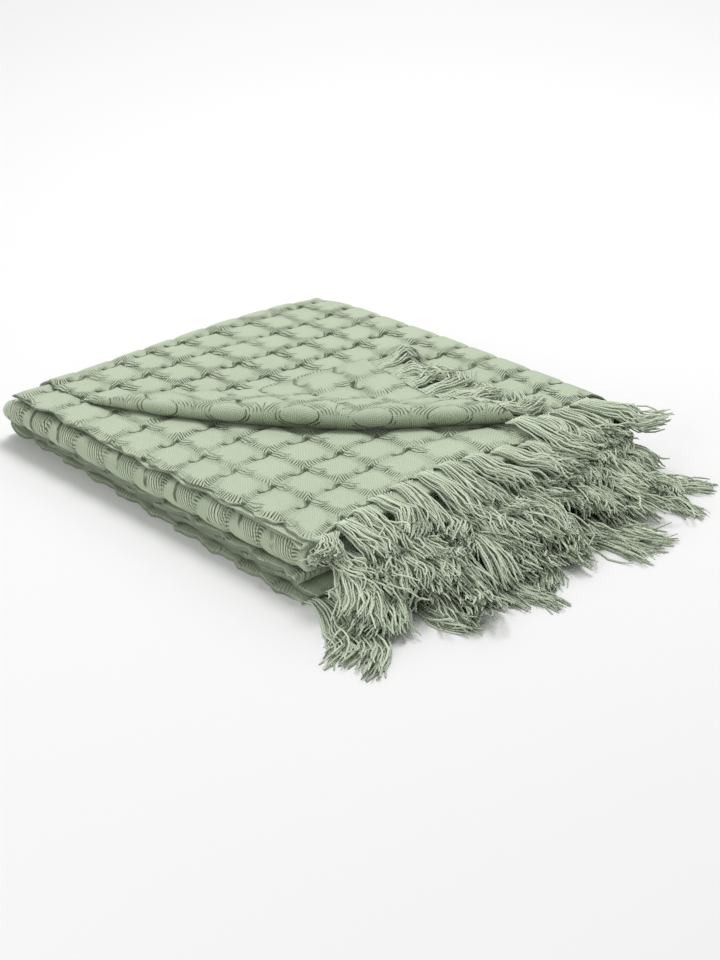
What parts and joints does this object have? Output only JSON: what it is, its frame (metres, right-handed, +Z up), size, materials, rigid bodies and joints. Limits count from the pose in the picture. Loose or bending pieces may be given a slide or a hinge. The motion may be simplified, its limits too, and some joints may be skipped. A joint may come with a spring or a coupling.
{
  "type": "folded bedspread",
  "caption": "Cotton bedspread in a cellular weave, folded into a square packet with one corner turned back and knotted tassel fringe along one side.",
  "frame": {"origin": "the middle of the packet's flat underside, on the surface it rests on", "axes": "+X runs along the packet's front edge towards the fringed side, +Y towards the back fold, +Z up"},
  "size_m": [0.5077, 0.4093, 0.0672],
  "materials": {
    "woven_cotton": "matte",
    "cotton_yarn": "matte"
  },
  "bodies": {
    "root": {"bedspread_cloth": "woven_cotton", "fringe_1_floor": "cotton_yarn", "fringe_2": "cotton_yarn", "fringe_3": "cotton_yarn", "fringe_4": "cotton_yarn", "fringe_5": "cotton_yarn", "fringe_6": "cotton_yarn", "fringe_7_top": "cotton_yarn", "fringe_8_flap": "cotton_yarn"}
  },
  "joints": []
}
